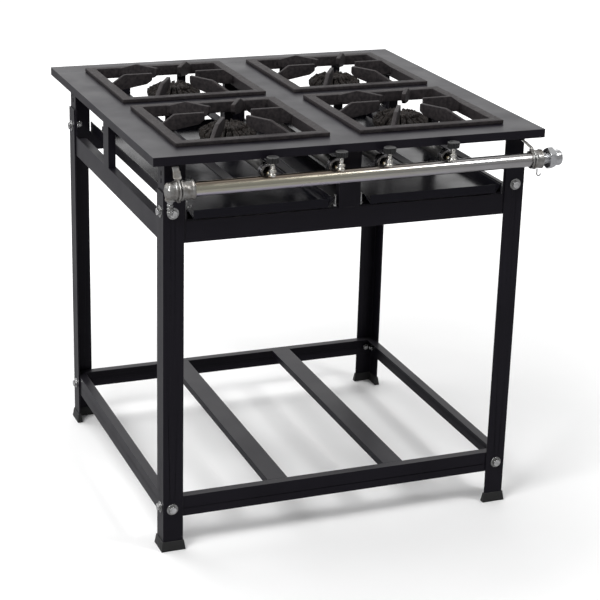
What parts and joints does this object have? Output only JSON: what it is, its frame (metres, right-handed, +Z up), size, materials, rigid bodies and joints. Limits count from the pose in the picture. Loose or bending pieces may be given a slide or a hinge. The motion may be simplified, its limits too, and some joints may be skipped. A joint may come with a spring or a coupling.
{
  "type": "gas stove stand",
  "caption": "Black low-pressure gas stove on a bolted angle-iron stand, with cast grates and burners, a front gas manifold with knobs, sliding drip trays and an open bottom shelf.",
  "frame": {"origin": "on the floor, under the middle of the whole object's box", "axes": "+Z up, -Y towards the gas manifold and the knobs, +X to the right of a person who faces them"},
  "size_m": [0.8071, 0.801, 0.8155],
  "materials": {
    "black_paint": "satin",
    "tray_paint": "gloss",
    "grate_iron": "rough cast, black",
    "burner_iron": "rough cast, black",
    "crown_iron": "rough cast, brown black",
    "zinc_pipe": "bright zinc plate",
    "zinc_fitting": "dull cast zinc plate",
    "zinc_fastener": "zinc plate",
    "valve_chrome": "bright nickel plate",
    "jet_brass": "bright",
    "shutter_metal": "bright zinc plate",
    "knob_plastic": "moulded black, slightly shiny",
    "shoe_plastic": "moulded black"
  },
  "bodies": {
    "stand": {"burner_body_front_left": "burner_iron", "burner_body_front_right": "burner_iron", "burner_body_rear_left": "burner_iron", "burner_body_rear_right": "burner_iron", "burner_straps": "black_paint", "center_post_front": "black_paint", "center_post_rear": "black_paint", "center_tray_guide": "black_paint", "corner_posts": "black_paint", "end_cap": "zinc_fitting", "end_nipple": "zinc_fitting", "frame_bolts": "zinc_fastener", "frame_nuts": "zinc_fastener", "frame_rail_front": "black_paint", "frame_rail_left": "black_paint", "frame_rail_rear": "black_paint", "frame_rail_right": "black_paint", "frame_washers": "zinc_fastener", "gas_jets": "jet_brass", "hanger_clips": "zinc_fastener", "hose_barb": "zinc_fastener", "inlet_elbow": "zinc_fitting", "leg_front_left": "black_paint", "leg_front_right": "black_paint", "leg_rear_left": "black_paint", "leg_rear_right": "black_paint", "leg_shoes": "shoe_plastic", "manifold_pipe": "zinc_pipe", "pipe_couplings": "zinc_fitting", "pipe_hangers": "zinc_fitting", "post_screws": "zinc_fastener", "shelf_rail_front": "black_paint", "shelf_rail_left": "black_paint", "shelf_rail_rear": "black_paint", "shelf_rail_right": "black_paint", "shelf_slats": "black_paint", "side_strut_left": "black_paint", "side_strut_right": "black_paint", "table_rear_strip": "black_paint", "table_top": "black_paint", "tray_guides": "black_paint", "valve_bodies": "valve_chrome"},
    "air_shutter_front_left": {"air_shutter_front_left": "shutter_metal"},
    "air_shutter_front_right": {"air_shutter_front_right": "shutter_metal"},
    "air_shutter_rear_left": {"air_shutter_rear_left": "shutter_metal"},
    "air_shutter_rear_right": {"air_shutter_rear_right": "shutter_metal"},
    "burner_crown_front_left": {"burner_crown_front_left": "crown_iron"},
    "burner_crown_front_right": {"burner_crown_front_right": "crown_iron"},
    "burner_crown_rear_left": {"burner_crown_rear_left": "crown_iron"},
    "burner_crown_rear_right": {"burner_crown_rear_right": "crown_iron"},
    "drip_tray_left": {"drip_tray_left": "tray_paint"},
    "drip_tray_right": {"drip_tray_right": "tray_paint"},
    "grate_front_left": {"grate_front_left": "grate_iron"},
    "grate_front_right": {"grate_front_right": "grate_iron"},
    "grate_rear_left": {"grate_rear_left": "grate_iron"},
    "grate_rear_right": {"grate_rear_right": "grate_iron"},
    "knob_1": {"knob_1": "knob_plastic"},
    "knob_2": {"knob_2": "knob_plastic"},
    "knob_3": {"knob_3": "knob_plastic"},
    "knob_4": {"knob_4": "knob_plastic"}
  },
  "joints": [
    {"name": "knob_1_turn", "type": "hinge", "parent": "stand", "child": "knob_1", "pos_m": [-0.185, -0.3785, 0.77253], "axis": [0, 0, -1], "range_deg": [0, 90]},
    {"name": "knob_2_turn", "type": "hinge", "parent": "stand", "child": "knob_2", "pos_m": [-0.051, -0.3785, 0.77339], "axis": [0, 0, -1], "range_deg": [0, 90]},
    {"name": "knob_3_turn", "type": "hinge", "parent": "stand", "child": "knob_3", "pos_m": [0.045, -0.3785, 0.77401], "axis": [0, 0, -1], "range_deg": [0, 90]},
    {"name": "knob_4_turn", "type": "hinge", "parent": "stand", "child": "knob_4", "pos_m": [0.175, -0.3785, 0.77484], "axis": [0, 0, -1], "range_deg": [0, 90]},
    {"name": "air_shutter_front_left_turn", "type": "hinge", "parent": "stand", "child": "air_shutter_front_left", "pos_m": [-0.185, -0.3575, 0.75], "axis": [0, 1, 0], "range_deg": [0, 60]},
    {"name": "air_shutter_rear_left_turn", "type": "hinge", "parent": "stand", "child": "air_shutter_rear_left", "pos_m": [-0.051, -0.3575, 0.75], "axis": [0, 1, 0], "range_deg": [0, 60]},
    {"name": "air_shutter_rear_right_turn", "type": "hinge", "parent": "stand", "child": "air_shutter_rear_right", "pos_m": [0.045, -0.3575, 0.75], "axis": [0, 1, 0], "range_deg": [0, 60]},
    {"name": "air_shutter_front_right_turn", "type": "hinge", "parent": "stand", "child": "air_shutter_front_right", "pos_m": [0.175, -0.3575, 0.75], "axis": [0, 1, 0], "range_deg": [0, 60]},
    {"name": "drip_tray_left_slide", "type": "slide", "parent": "stand", "child": "drip_tray_left", "axis": [0, -1, 0], "range_m": [0, 0.45]},
    {"name": "drip_tray_right_slide", "type": "slide", "parent": "stand", "child": "drip_tray_right", "axis": [0, -1, 0], "range_m": [0, 0.45]},
    {"name": "grate_front_left_lift", "type": "slide", "parent": "stand", "child": "grate_front_left", "axis": [0, 0, 1], "range_m": [0, 0.12]},
    {"name": "grate_rear_left_lift", "type": "slide", "parent": "stand", "child": "grate_rear_left", "axis": [0, 0, 1], "range_m": [0, 0.12]},
    {"name": "grate_rear_right_lift", "type": "slide", "parent": "stand", "child": "grate_rear_right", "axis": [0, 0, 1], "range_m": [0, 0.12]},
    {"name": "grate_front_right_lift", "type": "slide", "parent": "stand", "child": "grate_front_right", "axis": [0, 0, 1], "range_m": [0, 0.12]},
    {"name": "burner_crown_front_left_turn", "type": "hinge", "parent": "stand", "child": "burner_crown_front_left", "pos_m": [-0.1935, -0.1535, 0.7665], "axis": [0, 0, 1], "continuous": true},
    {"name": "burner_crown_rear_left_turn", "type": "hinge", "parent": "stand", "child": "burner_crown_rear_left", "pos_m": [-0.1935, 0.1925, 0.7665], "axis": [0, 0, 1], "continuous": true},
    {"name": "burner_crown_rear_right_turn", "type": "hinge", "parent": "stand", "child": "burner_crown_rear_right", "pos_m": [0.1675, 0.1925, 0.7665], "axis": [0, 0, 1], "continuous": true},
    {"name": "burner_crown_front_right_turn", "type": "hinge", "parent": "stand", "child": "burner_crown_front_right", "pos_m": [0.1675, -0.1535, 0.7665], "axis": [0, 0, 1], "continuous": true}
  ]
}
